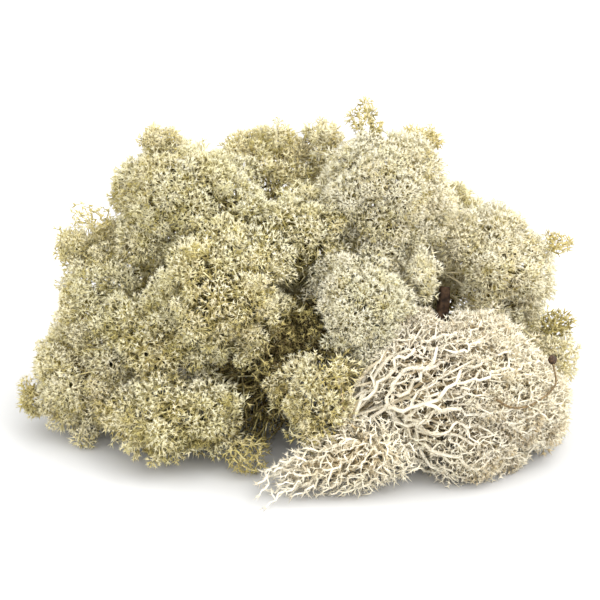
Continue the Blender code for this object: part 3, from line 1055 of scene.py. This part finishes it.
def lace_parts(stalks, chance):
    """The lace of fine twigs that stand on the fan's outer stalks, with holes in it."""
    places, normals = fan_points(LACE_DEPTH, chance, LACE_TRIES)
    reach = np.linalg.norm(places - BARE_ROOT, axis=1)
    out = reach / reach.max()
    holes = places[spread_apart(places, LACE_HOLES[0])]
    hole_gap = np.linalg.norm(places[:, None] - holes[None], axis=2).min(1)
    wanted = np.clip((out - LACE_START) * 3.2, 0, 1) * np.clip((1.02 - out) * 8, 0, 1)
    kept = (chance.random(len(places)) < wanted) & (hole_gap > LACE_HOLES[1])
    places, normals = places[kept], normals[kept]
    spaced = spread_apart(places, LACE_SPACING)
    places, normals = places[spaced], normals[spaced]
    nearest = np.linalg.norm(places[:, None] - stalks[None], axis=2).argmin(1)
    bases = stalks[nearest]
    places = places + normals * chance.uniform(-0.2, 1.2, (len(places), 1)) * MM
    young = np.clip(0.9 + chance.normal(size=len(places)) * 0.06, 0, 1)
    heading = unit(unit(places - bases) + normals * 0.8)
    return [
        stems(bases, places, SIDE_RADIUS, young - 0.15, young - 0.1),
        points_round(places, heading, SIDE_RADIUS, LACE_LENGTH, (30, 75), (3, 4), young, chance),
    ]


def rim_parts(chance):
    """The florets and sprigs of the far rim, and the stalks inside that carry them."""
    heads = np.concatenate([FLORETS[OVERTURNED], SPRIGS[OVERTURNED]])
    insides = inner_points(OVERTURNED, RIM_SPACING, chance, RIM_SKIN)
    points, parent, order = grown(BARE_ROOT, np.concatenate([heads[:, :3], insides]), RIM_THRIFT)
    place_of = np.empty(len(order), int)
    place_of[order] = np.arange(1, len(order) + 1)
    loads = loads_of(parent, np.ones(len(points)))
    radius = np.clip(STALK_GAUGE * loads**STALK_GROWTH, *RIM_RADIUS)
    depth = [within(OWN[OVERTURNED], point) for point in points]
    age = np.interp(depth, RIM_DEPTHS, RIM_AGES)
    return crowned(OVERTURNED, heads, place_of, (points, parent, radius, age), RIM_KNOB_AGE, chance)


def grow_overturned():
    """The overturned cushion: a fan of stalks in layers, a lace of fine twigs and a rim of florets."""
    chance = chance_for(OVERTURNED)
    parts, outer = fan_parts(chance)
    parts += lace_parts(outer[0], chance)
    parts += rim_parts(chance)
    return joined_mesh("lichen_" + OVERTURNED, parts, OVERTURNED_WARMTH)


BLEACHED = lichen_material(
    "bleached_lichen",
    (
        (0.0, (0.28, 0.2, 0.1)),
        (0.35, (0.6, 0.485, 0.305)),
        (0.7, (0.82, 0.75, 0.605)),
        (1.0, (0.805, 0.76, 0.65)),
    ),
    (
        (0.0, (0.3, 0.21, 0.09)),
        (0.35, (0.64, 0.515, 0.285)),
        (0.7, (0.84, 0.77, 0.575)),
        (1.0, (0.825, 0.78, 0.625)),
    ),
)

piece = grow_overturned()
piece.data.materials.append(BLEACHED)
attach(piece, "root")
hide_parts(OVERTURNED)

# ---------------------------------------------------------------- the stripped fringe
# A flat fringe of the same bleached stalks runs out over the floor from under the overturned cushion. Its
# left end is loose, and curls round to a few single tips in front.

FRINGE_SPACING = 1.9 * MM
FRINGE_FOOT = np.array((26, -40, 9)) * MM
FRINGE_FOOT_SPREAD = np.array((12, 3, 4)) * MM
FRINGE_FEET = 6
FRINGE_AGES = (0.45, 0.95)
FRINGE_WARMTH = 0.35
LOOSE_END = np.array((-3.2, -51.0, 4.6)) * MM
LOOSE_END_SIZE = np.array((8.4, 8.0, 3.9)) * MM
LOOSE_TRIES = 900
LOOSE_SPACING = 1.15  # beside that of the rest of the fringe
LOOSE_PRESS = 0.8 * MM  # how far it stays out of its neighbours
CURL_MM = ((-8.5, -50, 6), (-10.9, -54, 5.4), (-10.8, -58.2, 4), (-8.6, -61, 2), (-6, -58.5, 2.6))


def grow_fringe():
    """The stripped fringe: flat antlers that run out from their feet under the overturned cushion."""
    chance = chance_for(FRINGE)
    feet = FRINGE_FOOT + chance.uniform(-1, 1, (FRINGE_FEET, 3)) * FRINGE_FOOT_SPREAD
    spots = chance.uniform(-1, 1, (LOOSE_TRIES, 3))
    loose = LOOSE_END + spots[np.linalg.norm(spots, axis=1) < 1] * LOOSE_END_SIZE
    loose = loose[[within(OTHERS[FRINGE], spot) < -LOOSE_PRESS for spot in loose]]
    loose = loose[spread_apart(loose, FRINGE_SPACING * LOOSE_SPACING)]
    points = np.concatenate([feet, loose, np.array(CURL_MM) * MM])
    parts = net_parts(FRINGE, points, FRINGE_SPACING, 1.0, FRINGE_AGES, chance)
    return joined_mesh("lichen_" + FRINGE, parts, FRINGE_WARMTH)


piece = grow_fringe()
piece.data.materials.append(BLEACHED)
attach(piece, "root")
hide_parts(FRINGE)

# ---------------------------------------------------------------- litter
# A dark stub of heather twig stands in a gap, and a pine needle and a thin dead stalk with its bud lie on
# the lichen. They're picked up with it from the ground.


def bark_material(name, dark, light, fibres):
    """Dry bark or straw with fibres along the piece, between a dark and a light brown."""
    material = bpy.data.materials.new(name)
    material.use_nodes = True
    tree = material.node_tree
    shader = tree.nodes["Principled BSDF"]
    shader.inputs["Specular IOR Level"].default_value = 0.3
    patches, grain = weathered(tree, fibres / 4, fibres)
    both = tree.nodes.new("ShaderNodeMath")
    both.operation = "MULTIPLY"
    tree.links.new(ranged(tree, patches, 0.4, 1.1), both.inputs[0])
    tree.links.new(ranged(tree, grain, 0.2, 1.0), both.inputs[1])
    colour = colour_ramp(tree, both.outputs[0], ((0.1, dark), (0.8, light)))
    tree.links.new(colour, shader.inputs["Base Color"])
    tree.links.new(ranged(tree, grain, 0.6, 0.9), shader.inputs["Roughness"])
    tree.links.new(bump(tree, both.outputs[0], 0.2 * MM), shader.inputs["Normal"])
    return material


for name, dark, light, fibres in (
    ("twig", (0.016, 0.009, 0.005), (0.15, 0.088, 0.052), 900),
    ("needle", (0.13, 0.1, 0.03), (0.36, 0.31, 0.13), 1500),
    ("stalk", (0.05, 0.032, 0.014), (0.24, 0.165, 0.075), 1500),
    ("stalk_bud", (0.012, 0.007, 0.004), (0.12, 0.07, 0.04), 1800),
):
    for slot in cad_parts[name].material_slots:
        slot.material = bark_material("dry_" + name, dark, light, fibres)

# ---------------------------------------------------------------- floor, light and camera
# The mound lies on white card in a bright, soft room, with a wide window high up on the right.

floor_mesh = bpy.data.meshes.new("floor")
floor_mesh.from_pydata([(-3, -3, 0), (3, -3, 0), (3, 3, 0), (-3, 3, 0)], [], [(0, 1, 2, 3)])
floor = bpy.data.objects.new("floor", floor_mesh)
bpy.context.scene.collection.objects.link(floor)
card = bpy.data.materials.new("white_card")
card.use_nodes = True
card.node_tree.nodes["Principled BSDF"].inputs["Base Color"].default_value = (0.54, 0.54, 0.538, 1)
card.node_tree.nodes["Principled BSDF"].inputs["Roughness"].default_value = 0.9
floor_mesh.materials.append(card)

world = bpy.data.worlds.new("soft_room")
world.use_nodes = True
world.node_tree.nodes["Background"].inputs["Color"].default_value = (1, 1, 1, 1)
world.node_tree.nodes["Background"].inputs["Strength"].default_value = 2.12
bpy.context.scene.world = world

lamp = bpy.data.lights.new("window", "SUN")
lamp.energy = 2.0
lamp.angle = math.radians(52)
window = bpy.data.objects.new("window", lamp)
window.rotation_euler = Vector((-0.6, 0.08, -0.75)).to_track_quat("-Z", "Y").to_euler()
bpy.context.scene.collection.objects.link(window)

ELEVATION = math.radians(24)
DISTANCE = 0.75
AIM = Vector((0, 0, 0.036))
VIEW_WIDTH = 0.1715
lens = bpy.data.cameras.new("camera")
lens.sensor_width = 36
lens.lens = 36 * DISTANCE / VIEW_WIDTH
lens.shift_x = 1 / 300  # the mound stands a little left of the middle
camera = bpy.data.objects.new("camera", lens)
camera.location = AIM + DISTANCE * Vector((0, -math.cos(ELEVATION), math.sin(ELEVATION)))
camera.rotation_euler = (math.pi / 2 - ELEVATION, 0, 0)
bpy.context.scene.collection.objects.link(camera)
bpy.context.scene.camera = camera
bpy.context.scene.view_settings.view_transform = "Standard"
